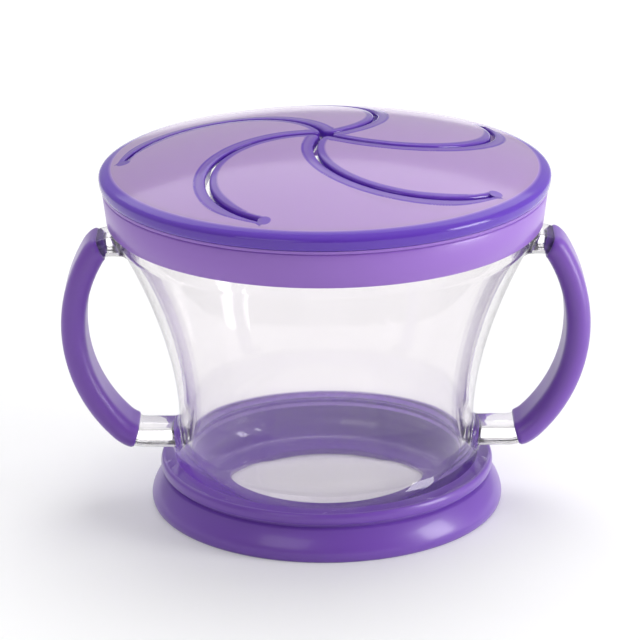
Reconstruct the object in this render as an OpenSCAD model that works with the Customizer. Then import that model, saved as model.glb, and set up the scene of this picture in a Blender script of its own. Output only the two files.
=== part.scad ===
// A two-handled toddler snack cup: a clear waisted cup with soft sleeves on its handles and a soft
// foot, and a lift-off lid whose soft top is slit into five curved flaps that a hand pushes through.
// Millimetres, +Z up, the origin on the table under the middle of the cup, one handle on each side along X.

/* [Cup] */
// Outer radius of the cup at its waist
waist_r = 32.6; // [30:0.1:34]
// Height of the waist above the table
waist_z = 19.8; // [17:0.1:23]
// Outer radius of the straight rim that the lid closes over
rim_r = 45.4; // [43:0.1:50]
// Height of the top of the rim
rim_top_z = 72.6; // [70:0.1:82]
// Length of the straight part of the rim, down to where the flare starts
rim_h = 10.6; // [9:0.1:14]
// How late the wall flares on its way up: 1 is a straight cone
flare_power = 1.75; // [1.2:0.05:2.4]
// Wall thickness of the cup
cup_wall = 2; // [1.6:0.1:2.6]
// Thickness of the floor of the cup
floor_t = 1.6; // [1.2:0.1:3]
// Radius of the hollow corner between the floor and the wall, inside
corner_r = 5.4; // [3:0.1:8]
// Outer radius of the foot, where the clear wall spreads over the soft base
foot_r = 35.9; // [35.2:0.1:38]
// Thickness of the foot between its seat in the soft base and the hollow inside
foot_wall = 4.4; // [3.4:0.1:6]
// How suddenly the wall spreads at the foot
foot_power = 6; // [3:0.5:8]
// How far the snap bead stands out of the rim
bead_out = 0.3; // [0.2:0.05:0.4]
// Depth of the snap bead below the top of the rim
bead_drop = 2.4; // [1.6:0.1:3.4]

/* [Handles] */
// How far the outside of a grip stands out past the rim
handle_out = 12.6; // [11:0.1:18]
// Radius of the main bend, at the middle of the bar
bend_r = 32.7; // [30:0.1:34]
// Height of the centre of the main bend
bend_z = 41.1; // [40:0.1:43]
// Angle above level at which the main bend ends
bend_up = 31; // [26:1:33]
// Angle below level at which the main bend ends
bend_down = 46; // [42:1:50]
// Radius of the tight bend into the upper arm
upper_bend_r = 4; // [3.4:0.1:5]
// Radius of the bend into the lower arm
lower_bend_r = 8; // [6:0.1:9]
// Thickness of the clear bar
bar_t = 4.2; // [3.6:0.1:4.6]
// Width of the clear bar
bar_w = 12; // [10:0.5:14]
// Thickness of the soft grip over the bar
grip_wall = 0.6; // [0.5:0.05:0.65]
// Radius of the fillets where the arms meet the cup
root_r = 1.4; // [0.8:0.1:1.6]
// How far the grip runs into the upper bend, in degrees
grip_up = 34; // [10:1:45]
// How far the grip runs into the lower bend, in degrees
grip_down = 27; // [10:1:36]

/* [Soft base] */
// Height of the soft base
base_h = 10.3; // [9:0.1:12]
// How far the skirt stands out past the foot of the cup
skirt_out = 3.1; // [2:0.1:5]
// Height at which the skirt is widest
skirt_z = 1.6; // [1:0.1:2.5]
// Thickness of the soft layer under the floor
base_floor = 1.4; // [1:0.1:2.4]
// Radius of the clear window in the middle of the base
window_r = 22.4; // [18:0.1:26]
// Height of the rounded bead along the top edge
lip_h = 1.6; // [1.2:0.1:2]
// How far the bead stands out past the foot of the cup
lip_out = 1; // [0.8:0.1:1.4]
// Height of the groove under the bead
groove_h = 1.1; // [0.8:0.1:1.6]
// Thickness of the soft wall at the groove, past the foot of the cup
groove_wall = 0.4; // [0.3:0.1:0.6]

/* [Lid ring] */
// Thickness of the collar at its top
collar_wall = 2; // [1.8:0.1:2.6]
// How much thinner the collar is at its lower edge
collar_taper = 0.8; // [0.4:0.1:1]
// Height of the collar
collar_h = 9; // [8:0.1:9.6]
// Thickness of the plate that lies on the rim
plate_t = 1.1; // [0.9:0.1:1.6]
// How far the plate reaches in over the rim
plate_in = 1; // [0.6:0.1:1.4]
// Width and height of the tongue that locks into the soft top
tongue = 1.4; // [1:0.1:1.6]
// Height of the snap bead inside the collar above its lower edge
catch_h = 2.4; // [1.2:0.1:3.2]

/* [Soft top] */
// How far the soft top overhangs the collar
overhang = 0.7; // [0.3:0.1:1.2]
// Height of the widest line above the ring
band_h = 1.3; // [1:0.1:1.8]
// Height of the rounded shoulder above the widest line
shoulder_h = 1.7; // [1.5:0.1:2.4]
// Width of the rounded shoulder
shoulder_w = 2.8; // [2:0.1:3]
// Rise of the dome above the shoulder
dome_rise = 6.95; // [5:0.05:9]
// Thickness of the soft skin
skin_t = 1.2; // [0.9:0.05:1.6]
// Width of a slit
slit_w = 0.9; // [0.6:0.1:1.4]
// Angle between the start of a slit and the straight line to its end
slit_turn = 80; // [74:1:84]
// Direction of the end of the first slit, seen from above
slit_at = -34.8; // [-60:0.1:10]
// Radius of the round end of a slit
slit_end_r = 0.8; // [0.6:0.1:0.9]
// Radius of the small hole where the five tips meet
centre_r = 1.6; // [1:0.1:3]
// Width of the lip under each edge of a slit
edge_w = 1.6; // [1:0.1:2.2]
// Depth of the lip under each edge of a slit
edge_h = 1.5; // [0.8:0.1:1.8]
// Length beside the hinge that has no lip, so that it can bend
edge_gap = 4; // [3.5:0.1:6]

/* [Fits] */
// Clearance between faces that move past each other
clearance = 0.3; // [0.3:0.05:0.5]
// Gap between the cup's rim and the inside of the collar
collar_gap = 0.9; // [0.9:0.05:1.2]

/* [Hidden] */
flap_count = 5;
turn = 360 / flap_count;
$fn = 96;
fine = 200;
wall_steps = 20;
foot_steps = 10;
arc_steps = 8;
bead_steps = 24;
bar_steps = 40;
rod_steps = 48;
foot_bias = 1.6;
skirt_power = 1.7;
chamfer = 0.4;
cut_past = 1;
big = 60;

// Heights and radii that follow from the sizes above
cup_bottom = base_floor;
floor_z = cup_bottom + floor_t;
flare_top = rim_top_z - rim_h;
seat_step = 0.9;
seat_lip = 0.8;
seat_r = foot_r - seat_step;
floor_r = seat_r - foot_wall - corner_r;
skirt_r = foot_r + skirt_out;
skirt_edge = 0.7;
bend_x = rim_r + handle_out - bend_r - bar_t / 2 - grip_wall;
plate_z = rim_top_z + clearance;
ring_top = plate_z + plate_t;
collar_in = rim_r + collar_gap;
collar_r = collar_in + collar_wall;
collar_low = ring_top - collar_h;
seam_drop = 1.5;
seam_z = ring_top - seam_drop;
seam_h = 0.2;
seam_in = 0.3;
seam_bead = 0.1;
band_edge = 0.3;
tongue_r = rim_r + clearance;
plate_r = rim_r - plate_in;
band_r = collar_r + overhang;
band_z = ring_top + band_h;
shoulder_r = band_r - shoulder_w;
shoulder_step = 0.1;
shoulder_z = band_z + shoulder_h + shoulder_step;
dome_r = (pow(shoulder_r, 2) + pow(dome_rise, 2)) / (2 * dome_rise);
dome_z = shoulder_z + dome_rise - dome_r;
apex_z = shoulder_z + dome_rise;

// The slit that starts along +X: an arc through the middle of the lid, curving to the left
slit_reach = plate_r - slit_end_r - shoulder_step;
slit_r = slit_reach / (2 * sin(slit_turn));
slit_c = [0, slit_r];
next_c = slit_r * [-sin(turn), cos(turn)];
slit_end = slit_reach * [cos(slit_turn), sin(slit_turn)];
hinge_in = next_c + slit_r * (slit_end - next_c) / norm(slit_end - next_c);

// The hinge of a flap: a straight line at the middle of the skin, from the next slit to the slit's end
function skin_z(r) = dome_z + sqrt(pow(dome_r - skin_t / 2, 2) - r * r);
hinge_mid = (slit_end + hinge_in) / 2;
hinge_sag = skin_z(norm(hinge_mid)) - (skin_z(norm(slit_end)) + skin_z(norm(hinge_in))) / 2;
hinge_a = [hinge_in[0], hinge_in[1], skin_z(norm(hinge_in)) + hinge_sag / 2];
hinge_b = [slit_end[0], slit_end[1], skin_z(norm(slit_end)) + hinge_sag / 2];
hinge_v = hinge_b - hinge_a;
hinge_dir = atan2(hinge_v[1], hinge_v[0]);
root_rod_r = skin_t / 2 + hinge_sag / 2;

// Outer radius of the cup at a height
function wall_r(z) =
    z >= flare_top ? rim_r
    : z >= waist_z
        ? waist_r + (rim_r - waist_r) * pow((z - waist_z) / (flare_top - waist_z), flare_power)
        : waist_r + (foot_r - waist_r) * pow((waist_z - z) / (waist_z - base_h), foot_power);

// Inner radius of the cup at a height above the waist
function inner_r(z) = wall_r(z) - cup_wall;

function arc(c, rx, ry, a0, a1) =
    [for (i = [0 : arc_steps]) let (a = a0 + (a1 - a0) * i / arc_steps) c + [rx * cos(a), ry * sin(a)]];

foot_line = [
    for (i = [0 : foot_steps]) let (z = base_h + (waist_z - base_h) * pow(i / foot_steps, foot_bias)) [wall_r(z), z]
];
flare_line = [
    for (i = [1 : wall_steps]) let (z = waist_z + (flare_top - waist_z) * i / wall_steps) [wall_r(z), z]
];
inner_line = [
    for (i = [0 : wall_steps]) let (z = flare_top + (waist_z - flare_top) * i / wall_steps) [inner_r(z), z]
];

// The cup's outside, filled, for the cup itself and to trim the arms of the handles
module cup_outside() {
    rotate_extrude()
        polygon(concat(
            [[0, cup_bottom], [seat_r, cup_bottom], [seat_r, base_h - seat_lip], [foot_r, base_h - seat_lip]],
            foot_line,
            flare_line,
            [[rim_r, rim_top_z - chamfer], [rim_r - chamfer, rim_top_z], [0, rim_top_z]]
        ));
}

module cup_inside() {
    rotate_extrude()
        polygon(concat(
            [[0, rim_top_z + cut_past], [rim_r - cup_wall + chamfer + cut_past, rim_top_z + cut_past]],
            [[rim_r - cup_wall, rim_top_z - chamfer]],
            inner_line,
            arc([floor_r, floor_z + corner_r], corner_r, corner_r, 0, -90),
            [[0, floor_z]]
        ));
}

// The snap bead near the top of the rim
module snap_bead() {
    rotate_extrude()
        translate([rim_r + bead_out - chamfer, rim_top_z - bead_drop]) circle(r = chamfer, $fn = bead_steps);
}

// Everything above the narrowest part of the cup
module above_waist() {
    translate([0, 0, waist_z]) cylinder(r = rim_r + cut_past, h = big);
}

// The clear cup is one moulding, in three solids so that collision can follow its hollow. This one is the
// flared wall with the rim.
module cup() {
    color([0.93, 0.95, 0.97, 0.45])
        intersection() {
            difference() {
                union() {
                    cup_outside();
                    snap_bead();
                }
                cup_inside();
            }
            above_waist();
        }
}

// The foot: the wall below the waist and the hollow corner, round the flat of the floor
module cup_foot() {
    color([0.93, 0.95, 0.97, 0.45])
        difference() {
            cup_outside();
            cup_inside();
            above_waist();
            cylinder(r = floor_r, h = waist_z);
        }
}

module cup_floor() {
    color([0.93, 0.95, 0.97, 0.45])
        translate([0, 0, cup_bottom]) cylinder(r = floor_r, h = floor_t);
}

// A flat bar's section with round edges, thickness along x and width along y
module bar_section(t, w) {
    square([t, w - t], center = true);
    for (side = [-1, 1]) translate([0, side * (w - t) / 2]) circle(d = t, $fn = bar_steps);
}

// One bend of the bar: centre, radius, first angle, sweep, and the section
module bend(c, r, a0, sweep, t, w) {
    translate([c[0], 0, c[1]]) rotate([90, 0, 0]) rotate([0, 0, a0])
        rotate_extrude(angle = sweep) translate([r, 0]) bar_section(t, w);
}

upper_c = [bend_x, bend_z] + (bend_r - upper_bend_r) * [cos(bend_up), sin(bend_up)];
lower_c = [bend_x, bend_z] + (bend_r - lower_bend_r) * [cos(bend_down), -sin(bend_down)];

// The three bends together, each tight one swept by the angle given. The tight bends are a hair thicker,
// so that the main bend and the arms run a little way into their ends.
swell = 0.2;
splice = 0.8;
arm_in = 0.4;
module loop(t, w, up, down) {
    bend([bend_x, bend_z], bend_r, -bend_down - splice, bend_down + bend_up + 2 * splice, t, w);
    bend(upper_c, upper_bend_r, bend_up, up, t + swell, w + swell);
    bend(lower_c, lower_bend_r, -bend_down - down, down, t + swell, w + swell);
}

// A level arm from inside the cup's wall to just inside the end of a bend
module arm(end, z) {
    translate([0, 0, z]) rotate([0, 90, 0])
        linear_extrude(height = end + arm_in) bar_section(bar_t, bar_w);
}

// A block round an arm's root, hollowed to fillets on its four sides, which start a hair inside the arm
module arm_root(z) {
    x = wall_r(z) + root_r;
    neck_t = bar_t - swell;
    neck_w = bar_w - bar_t / 2;
    difference() {
        translate([x - root_r - big / 2, -neck_w / 2 - root_r, z - neck_t / 2 - root_r])
            cube([big / 2 + root_r, neck_w + 2 * root_r, neck_t + 2 * root_r]);
        for (side = [-1, 1]) {
            translate([x, 0, z + side * (neck_t / 2 + root_r)]) rotate([90, 0, 0])
                cylinder(r = root_r, h = big, center = true);
            translate([x, side * (neck_w / 2 + root_r), z])
                cylinder(r = root_r, h = big, center = true);
        }
    }
}

module handle() {
    color([0.93, 0.95, 0.97, 0.45])
        difference() {
            union() {
                loop(bar_t, bar_w, 90 - bend_up, 90 - bend_down);
                arm(upper_c[0], upper_c[1] + upper_bend_r);
                arm(lower_c[0], lower_c[1] - lower_bend_r);
                arm_root(upper_c[1] + upper_bend_r);
                arm_root(lower_c[1] - lower_bend_r);
            }
            cup_outside();
        }
}

module grip() {
    color([0.42, 0.29, 0.62])
        difference() {
            loop(bar_t + 2 * grip_wall, bar_w + 2 * grip_wall, grip_up, grip_down);
            loop(bar_t, bar_w, grip_up + cut_past, grip_down + cut_past);
        }
}

module handle_left() { mirror([1, 0, 0]) handle(); }

module handle_right() { handle(); }

module grip_left() { mirror([1, 0, 0]) grip(); }

module grip_right() { grip(); }

// The skirt's radius from its widest line, t = 0, up to the groove under the bead, t = 1
groove_z = base_h - lip_h - groove_h;
groove_r = foot_r + groove_wall;
skirt_line = [
    for (i = [0 : arc_steps]) let (t = i / arc_steps)
        [groove_r + (skirt_r - groove_r) * (1 - pow(t, skirt_power)), skirt_z + (groove_z - skirt_z) * t]
];

module base_ring() {
    color([0.45, 0.31, 0.66])
        rotate_extrude()
            polygon(concat(
                [[window_r, 0]],
                arc([skirt_r - skirt_edge, skirt_z], skirt_edge, skirt_z, -90, 0),
                skirt_line,
                [[groove_r, base_h - lip_h - chamfer]],
                arc([groove_r, base_h - lip_h / 2], lip_out - groove_wall, lip_h / 2, -90, 90),
                [[foot_r, base_h], [foot_r, base_h - seat_lip], [seat_r, base_h - seat_lip]],
                [[seat_r, base_floor], [window_r, base_floor]]
            ));
}

// The rigid ring of the lid: collar, plate over the rim, tongue, and the thin seam line under its top bead
module lid_ring() {
    color([0.52, 0.39, 0.72]) {
        rotate_extrude()
            polygon([
                [collar_in, collar_low], [collar_r - collar_taper, collar_low],
                [collar_r, seam_z - seam_h], [collar_r - seam_in, seam_z],
                [collar_r + seam_bead, seam_z + seam_h], [collar_r + seam_bead, ring_top],
                [tongue_r + tongue, ring_top], [tongue_r + tongue, ring_top + tongue],
                [tongue_r, ring_top + tongue], [tongue_r, ring_top],
                [plate_r, ring_top], [plate_r, plate_z], [collar_in, plate_z]
            ]);
        rotate_extrude()
            translate([collar_in - bead_out + chamfer, collar_low + catch_h]) circle(r = chamfer, $fn = bead_steps);
    }
}

// A ball concentric with the dome, whose top is the dome at a depth below its surface
module dome_ball(depth) {
    translate([0, 0, dome_z]) sphere(r = dome_r - depth, $fn = fine);
}

module upright(c, r) {
    translate([c[0], c[1], ring_top - big / 4]) cylinder(r = r, h = big, $fn = fine);
}

// Everything on the flap's side of a line that lies a distance in from the hinge
module flap_side(inset) {
    translate([hinge_mid[0], hinge_mid[1], ring_top - big / 4]) rotate([0, 0, hinge_dir - 90])
        translate([inset, -big, 0]) cube([big, 2 * big, big]);
}

// A round rod along the hinge line, a little longer than the hinge
module hinge_rod(r, past) {
    length = norm(hinge_v);
    translate(hinge_a) rotate([0, acos(hinge_v[2] / length), hinge_dir])
        translate([0, 0, -past]) cylinder(r = r, h = length + 2 * past, $fn = rod_steps);
}

// One flap for the slit that starts along +X, with a lip under both of its free edges
module flap() {
    color([0.73, 0.63, 0.86, 0.9])
        difference() {
            intersection() {
                dome_ball(0);
                upright(slit_c, slit_r - slit_w / 2);
                union() {
                    flap_side(0);
                    hinge_rod(root_rod_r, cut_past);
                }
            }
            upright(next_c, slit_r + slit_w / 2);
            upright([0, 0], centre_r);
            dome_ball(skin_t + edge_h);
            difference() {
                dome_ball(skin_t);
                difference() {
                    flap_side(edge_gap);
                    difference() {
                        upright(slit_c, slit_r - slit_w / 2 - edge_w);
                        upright(next_c, slit_r + slit_w / 2 + edge_w);
                    }
                }
            }
        }
}

// The hole in the soft top for one flap, its hinge groove and the round end of its slit
module flap_opening() {
    intersection() {
        upright(slit_c, slit_r + slit_w / 2);
        flap_side(0);
    }
    hinge_rod(root_rod_r + clearance, slit_w);
    upright(slit_end, slit_end_r);
}

// The lip under the rim side of one slit, from the neighbour's hinge to near the slit's end
module rim_edge() {
    difference() {
        intersection() {
            dome_ball(skin_t / 2);
            upright(slit_c, slit_r + slit_w / 2 + edge_w);
            upright([0, 0], slit_reach - edge_w);
            rotate([0, 0, -turn]) rim_side(edge_gap);
            rotate([0, 0, slit_turn]) translate([0, -big, ring_top - big / 4]) cube([big, big, big]);
        }
        upright(slit_c, slit_r + slit_w / 2);
        dome_ball(skin_t + edge_h);
    }
}

// Everything on the rim's side of a line that lies a distance out from the hinge
module rim_side(outset) {
    translate([hinge_mid[0], hinge_mid[1], ring_top - big / 4]) rotate([0, 0, hinge_dir + 90])
        translate([outset, -big, 0]) cube([big, 2 * big, big]);
}

module each_flap() {
    for (i = [0 : flap_count - 1]) flap_place(i) children();
}

module flap_place(i) {
    rotate([0, 0, slit_at - slit_turn + turn * i]) children();
}

module lid_membrane() {
    color([0.62, 0.5, 0.82, 0.9])
        difference() {
            union() {
                difference() {
                    intersection() {
                        dome_ball(0);
                        rotate_extrude()
                            polygon(concat(
                                [[0, ring_top], [band_r - band_edge, ring_top], [band_r, band_z]],
                                arc([shoulder_r, band_z], shoulder_w, shoulder_h, 0, 90),
                                [[shoulder_r, apex_z + cut_past], [0, apex_z + cut_past]]
                            ));
                    }
                    intersection() {
                        dome_ball(skin_t);
                        upright([0, 0], plate_r);
                    }
                    rotate_extrude()
                        translate([tongue_r, ring_top - cut_past]) square([tongue, tongue + cut_past]);
                }
                each_flap() rim_edge();
            }
            each_flap() flap_opening();
        }
}

module flap_1() { flap_place(0) flap(); }

module flap_2() { flap_place(1) flap(); }

module flap_3() { flap_place(2) flap(); }

module flap_4() { flap_place(3) flap(); }

module flap_5() { flap_place(4) flap(); }

cup();
cup_foot();
cup_floor();
handle_left();
handle_right();
grip_left();
grip_right();
base_ring();
lid_ring();
lid_membrane();
flap_1();
flap_2();
flap_3();
flap_4();
flap_5();
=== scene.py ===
"""Looks for a toddler snack cup: a clear waisted cup with soft grips and a soft foot, and a lid with a soft
top slit into five curved flaps.

Sizes are in millimetres, as in the CAD source, and become metres where a mesh is made. The origin is on the
table under the middle of the cup, with one handle on each side along X and the viewer towards -Y.
"""
import logging
import math
from collections.abc import Callable
from dataclasses import dataclass
from enum import Enum

import bmesh
import bpy
from bmesh.types import BMesh, BMVert
from bpy.types import ID, Light, Material, Node, NodeSocket, NodeTree, Object
from mathutils import Matrix, Vector
from mathutils.geometry import delaunay_2d_cdt


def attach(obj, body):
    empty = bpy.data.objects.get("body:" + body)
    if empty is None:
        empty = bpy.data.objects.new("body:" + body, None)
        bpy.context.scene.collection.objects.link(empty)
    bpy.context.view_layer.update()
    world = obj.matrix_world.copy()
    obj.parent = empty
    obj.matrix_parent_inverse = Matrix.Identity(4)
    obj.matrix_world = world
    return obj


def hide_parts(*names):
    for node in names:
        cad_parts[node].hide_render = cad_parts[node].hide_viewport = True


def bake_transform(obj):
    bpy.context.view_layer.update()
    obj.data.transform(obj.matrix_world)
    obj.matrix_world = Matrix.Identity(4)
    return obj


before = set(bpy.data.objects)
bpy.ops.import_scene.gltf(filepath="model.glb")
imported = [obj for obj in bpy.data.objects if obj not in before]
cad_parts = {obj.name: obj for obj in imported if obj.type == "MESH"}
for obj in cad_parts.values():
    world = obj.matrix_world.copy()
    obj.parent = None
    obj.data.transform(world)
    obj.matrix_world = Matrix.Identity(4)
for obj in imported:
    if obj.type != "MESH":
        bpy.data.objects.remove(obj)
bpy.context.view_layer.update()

MM = 0.001
LOG = logging.getLogger("snack_cup")

Point2 = tuple[float, float]
Point3 = tuple[float, float, float]
Colour = tuple[float, float, float]
Span = tuple[float, float]
Value = float | tuple[float, ...] | NodeSocket
Placer = Callable[[Vector, float, float], BMVert]


class Body(Enum):
    """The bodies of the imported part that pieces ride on."""

    CUP = "cup"
    LID = "lid"


class Slot(Enum):
    """The material slots."""

    CLEAR = "clear_plastic"
    GRIP = "soft_grip"
    BASE = "soft_base"
    RING = "lid_plastic"
    TOP = "soft_top"


def smooth(low: float, high: float, value: float) -> float:
    """Eases from 0 at low to 1 at high.

    Args:
        low: the value at and below which the result is 0.
        high: the value at and above which the result is 1.
        value: the value to ease.

    Returns:
        A share from 0 to 1.
    """
    t = min(1.0, max(0.0, (value - low) / (high - low)))
    return t * t * (3 - 2 * t)


def arc_points(centre: Point2, radius: float, start: float, end: float, count: int) -> list[Vector]:
    """Points along an arc, both ends included.

    Args:
        centre: the arc's centre.
        radius: its radius.
        start: the first angle in degrees.
        end: the last angle in degrees.
        count: the number of steps.

    Returns:
        count + 1 points.
    """
    c = Vector(centre)
    angles = (math.radians(start + (end - start) * i / count) for i in range(count + 1))
    return [c + radius * Vector((math.cos(a), math.sin(a))) for a in angles]


def bezier_points(a: Point2, b: Point2, c: Point2, d: Point2, count: int) -> list[Point2]:
    """Points along a cubic curve, both ends included.

    Args:
        a: the first end.
        b: the handle of the first end.
        c: the handle of the last end.
        d: the last end.
        count: the number of steps.

    Returns:
        count + 1 points.
    """
    found = []
    for i in range(count + 1):
        t = i / count
        w = ((1 - t) ** 3, 3 * t * (1 - t) ** 2, 3 * t * t * (1 - t), t**3)
        found.append(tuple(sum(k * p[axis] for k, p in zip(w, (a, b, c, d))) for axis in (0, 1)))
    return found


def corner_points(centre: Point2, wide: float, high: float, turn: Span, count: int) -> list[Point2]:
    """Points along a round or oval corner of a profile, both ends included.

    Args:
        centre: its centre, as radius and height.
        wide: its radius level.
        high: its radius upright.
        turn: the first and last angle in degrees.
        count: the number of steps.

    Returns:
        count + 1 points.
    """
    start, end = turn
    angles = (math.radians(start + (end - start) * i / count) for i in range(count + 1))
    return [(centre[0] + wide * math.cos(a), centre[1] + high * math.sin(a)) for a in angles]


def put_in_scene(name: str, data: ID) -> Object:
    """Makes an object in the scene's own collection.

    Args:
        name: its name.
        data: its mesh, lamp or camera.

    Returns:
        The object.
    """
    made = bpy.data.objects.new(name, data)
    bpy.context.scene.collection.objects.link(made)
    return made


def new_piece(name: str, bm: BMesh, sharp_deg: float = 40.0) -> Object:
    """Makes an object of a finished mesh in millimetres, shaded smooth but for its sharp edges.

    Args:
        name: the piece's name.
        bm: the mesh, which is freed.
        sharp_deg: the angle above which an edge stays sharp.

    Returns:
        The object, in the scene's own collection, at the origin.
    """
    bmesh.ops.remove_doubles(bm, verts=bm.verts, dist=1e-4)
    bmesh.ops.recalc_face_normals(bm, faces=bm.faces)
    bmesh.ops.scale(bm, vec=(MM, MM, MM), verts=bm.verts)
    mesh = bpy.data.meshes.new(name)
    bm.to_mesh(mesh)
    bm.free()
    mesh.shade_smooth()
    mesh.set_sharp_from_angle(angle=math.radians(sharp_deg))
    return put_in_scene(name, mesh)


def bridge(bm: BMesh, rings: list[list[BMVert]]) -> None:
    """Joins each closed ring to the next with faces.

    Args:
        bm: the mesh.
        rings: rings of as many points each, any of which may be one point repeated.
    """
    count = len(rings[0])
    for low, high in zip(rings, rings[1:]):
        for i in range(count):
            j = (i + 1) % count
            corners = list(dict.fromkeys((low[i], low[j], high[j], high[i])))
            if len(corners) > 2:
                bm.faces.new(corners)


def lathe(profile: list[Point2], steps: int, start: float = 0.0) -> BMesh:
    """Turns a closed profile round Z.

    Args:
        profile: radius and height of each corner, in order round the profile.
        steps: the number of steps round the axis.
        start: the angle of the first step in degrees.

    Returns:
        A closed mesh. Corners on the axis become one point each.
    """
    bm = bmesh.new()
    rings = []
    for r, z in profile:
        if r < 1e-6:
            rings.append([bm.verts.new((0, 0, z))] * steps)
            continue
        angles = (math.radians(start + 360 * i / steps) for i in range(steps))
        rings.append([bm.verts.new((r * math.cos(a), r * math.sin(a), z)) for a in angles])
    bridge(bm, rings + rings[:1])
    return bm


def sweep(rings: list[list[Vector]]) -> BMesh:
    """Skins a row of closed rings and caps both ends.

    Args:
        rings: rings of as many points each, in order along the sweep.

    Returns:
        A closed mesh.
    """
    bm = bmesh.new()
    made = [[bm.verts.new(p) for p in ring] for ring in rings]
    bridge(bm, made)
    bm.faces.new(reversed(made[0]))
    bm.faces.new(made[-1])
    return bm


def for_side(bm: BMesh, side: int) -> BMesh:
    """Mirrors a right-hand mesh for the left.

    Args:
        bm: the mesh.
        side: 1 for the right or -1 for the left.

    Returns:
        The same mesh.
    """
    if side < 0:
        bmesh.ops.transform(bm, matrix=Matrix.Diagonal((-1, 1, 1, 1)), verts=bm.verts)
    return bm


def dress(piece: Object, finish: Material, slot: Slot, *nodes: str) -> None:
    """Gives a piece its finish, and hides the CAD nodes that it replaces.

    Args:
        piece: the object.
        finish: its material.
        slot: not used.
        nodes: the CAD nodes that it replaces.
    """
    piece.data.materials.append(finish)
    if nodes:
        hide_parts(*nodes)
    LOG.info("made %s: %d faces", piece.name, len(piece.data.polygons))


def feed(tree: NodeTree, node: Node, inputs: dict[str | int, Value]) -> None:
    """Sets a node's inputs, or links sockets to them.

    Args:
        tree: the node tree.
        node: the node.
        inputs: a value or another node's socket for each input, by name or number.
    """
    for name, value in inputs.items():
        if isinstance(value, NodeSocket):
            tree.links.new(value, node.inputs[name])
        else:
            node.inputs[name].default_value = value


def add_node(
    tree: NodeTree, kind: str, inputs: dict[str | int, Value] | None = None, **settings: str | bool | NodeTree
) -> Node:
    """Adds a shader node.

    Args:
        tree: the node tree.
        kind: its type, without ShaderNode.
        inputs: what feeds its inputs.
        settings: its other settings.

    Returns:
        The node.
    """
    node = tree.nodes.new(f"ShaderNode{kind}")
    for name, setting in settings.items():
        setattr(node, name, setting)
    feed(tree, node, inputs or {})
    return node


def maths(tree: NodeTree, operation: str, *inputs: Value, clamp: bool = False) -> NodeSocket:
    """The result of a sum in the node tree, kept from 0 to 1 if it is clamped."""
    return add_node(tree, "Math", dict(enumerate(inputs)), operation=operation, use_clamp=clamp).outputs[0]


def remap(tree: NodeTree, value: Value, to: Span, of: Span = (0.0, 1.0), ease: str = "LINEAR") -> NodeSocket:
    """Maps one range of values to another.

    Args:
        tree: the node tree.
        value: the socket to map.
        to: what the range becomes.
        of: the range that counts.
        ease: how it goes from one end to the other.

    Returns:
        The mapped socket.
    """
    limits = {"Value": value, "From Min": of[0], "From Max": of[1], "To Min": to[0], "To Max": to[1]}
    return add_node(tree, "MapRange", limits, interpolation_type=ease).outputs["Result"]


def ray_kind(tree: NodeTree, *kinds: str) -> NodeSocket:
    """Whether a ray is one of some kinds.

    Args:
        tree: the node tree.
        kinds: the Light Path outputs of those kinds.

    Returns:
        A socket that is 1 for such a ray and 0 for others.
    """
    path = add_node(tree, "LightPath")
    found = path.outputs[kinds[0]]
    for kind in kinds[1:]:
        found = maths(tree, "MAXIMUM", found, path.outputs[kind])
    return found


def start_material(name: str, inputs: dict[str, Value]) -> Material:
    """Starts a material.

    Args:
        name: the material's name.
        inputs: what feeds its shader, by name.

    Returns:
        The material, with one Principled BSDF.
    """
    made = bpy.data.materials.new(name)
    made.use_nodes = True
    shade(made.node_tree, inputs)
    return made


def shade(tree: NodeTree, inputs: dict[str, Value]) -> None:
    """Feeds a material's shader."""
    feed(tree, tree.nodes["Principled BSDF"], inputs)


def let_light_through(tree: NodeTree, cover: float, kept: float) -> None:
    """Lets light pass a clear surface to what lies behind it.

    Args:
        tree: the material's node tree.
        cover: how much of the surface counts when it is looked at.
        kept: the share of light that it keeps from what lies behind it.
    """
    shade(tree, {"Alpha": remap(tree, ray_kind(tree, "Is Shadow Ray", "Is Diffuse Ray"), (cover, kept))})


@dataclass(frozen=True)
class MouldedSurface:
    """A node group for the faint unevenness of moulded plastic: a slow swell, a fine grain and a mottle."""

    name: str = "moulded_surface"  # the group's name
    grain_size: float = 900.0  # how fine the grain is, as waves to the metre
    swell_size: float = 60.0  # how fine the swell is
    grain_share: float = 0.25  # the grain's height as a share of the swell's

    def group(self) -> NodeTree:
        """The group, built once.

        Returns:
            A tree with the inputs Grain size and Swell size, and the outputs Height and Mottle.
        """
        found = bpy.data.node_groups.get(self.name)
        if found:
            return found
        tree = bpy.data.node_groups.new(self.name, "ShaderNodeTree")
        face = tree.interface
        for label, value in (("Grain size", self.grain_size), ("Swell size", self.swell_size)):
            face.new_socket(label, in_out="INPUT", socket_type="NodeSocketFloat").default_value = value
        for label in ("Height", "Mottle"):
            face.new_socket(label, in_out="OUTPUT", socket_type="NodeSocketFloat")
        inputs, outputs = tree.nodes.new("NodeGroupInput"), tree.nodes.new("NodeGroupOutput")
        place = add_node(tree, "TexCoord").outputs["Object"]
        noise = []
        for label, detail in (("Grain size", 2), ("Swell size", 1)):
            waves = {"Vector": place, "Scale": inputs.outputs[label], "Detail": detail}
            noise.append(add_node(tree, "TexNoise", waves).outputs["Fac"])
        grain, swell = noise
        total = maths(tree, "MULTIPLY_ADD", grain, self.grain_share, swell)
        feed(tree, outputs, {"Height": total, "Mottle": swell})
        return tree


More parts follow.
